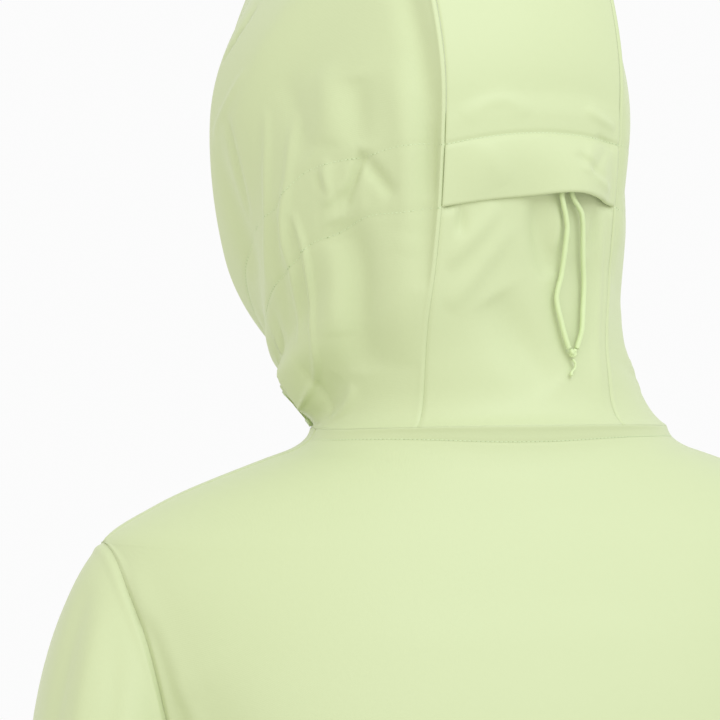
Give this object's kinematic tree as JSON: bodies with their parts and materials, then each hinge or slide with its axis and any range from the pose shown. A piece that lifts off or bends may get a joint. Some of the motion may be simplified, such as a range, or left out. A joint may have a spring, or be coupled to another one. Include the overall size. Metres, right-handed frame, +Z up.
{
  "type": "hooded softshell jacket",
  "caption": "Hooded softshell jacket, zipped up with its hood raised, held in its hollow worn shape, with a drawcord adjuster at the back of the hood.",
  "frame": {"origin": "the middle of the neck seam, where the wearer's neck and shoulders hold the jacket", "axes": "+Z up, -Y to the front, +X to the wearer's left"},
  "size_m": [0.626, 0.296, 0.9982],
  "materials": {
    "lime_softshell": "matte, smooth bonded face",
    "lime_zip_tape": "woven tape",
    "lime_zip_chain": "satin coil",
    "lime_lacquered_metal": "satin lacquer",
    "lime_cord": "round elastic cord"
  },
  "bodies": {
    "jacket": {"back": "lime_softshell", "front_left": "lime_softshell", "front_right": "lime_softshell", "hood_side_left": "lime_softshell", "hood_side_right": "lime_softshell", "hood_strip_lower": "lime_softshell", "hood_strip_upper": "lime_softshell", "sleeve_left": "lime_softshell", "sleeve_right": "lime_softshell", "zip_tape_left": "lime_zip_tape", "zip_tape_right": "lime_zip_tape", "zip_chain": "lime_zip_chain", "zip_slider": "lime_lacquered_metal", "drawcord_left": "lime_cord", "drawcord_right": "lime_cord", "drawcord_knot": "lime_cord", "drawcord_tail": "lime_cord"},
    "pull": {"zip_pull": "lime_lacquered_metal"}
  },
  "joints": [
    {"name": "pull_swing", "type": "hinge", "parent": "jacket", "child": "pull", "pos_m": [0.01415, -0.12027, -0.01176], "axis": [-0.9972, -0.0748, 0], "range_deg": [-8, 150]}
  ]
}
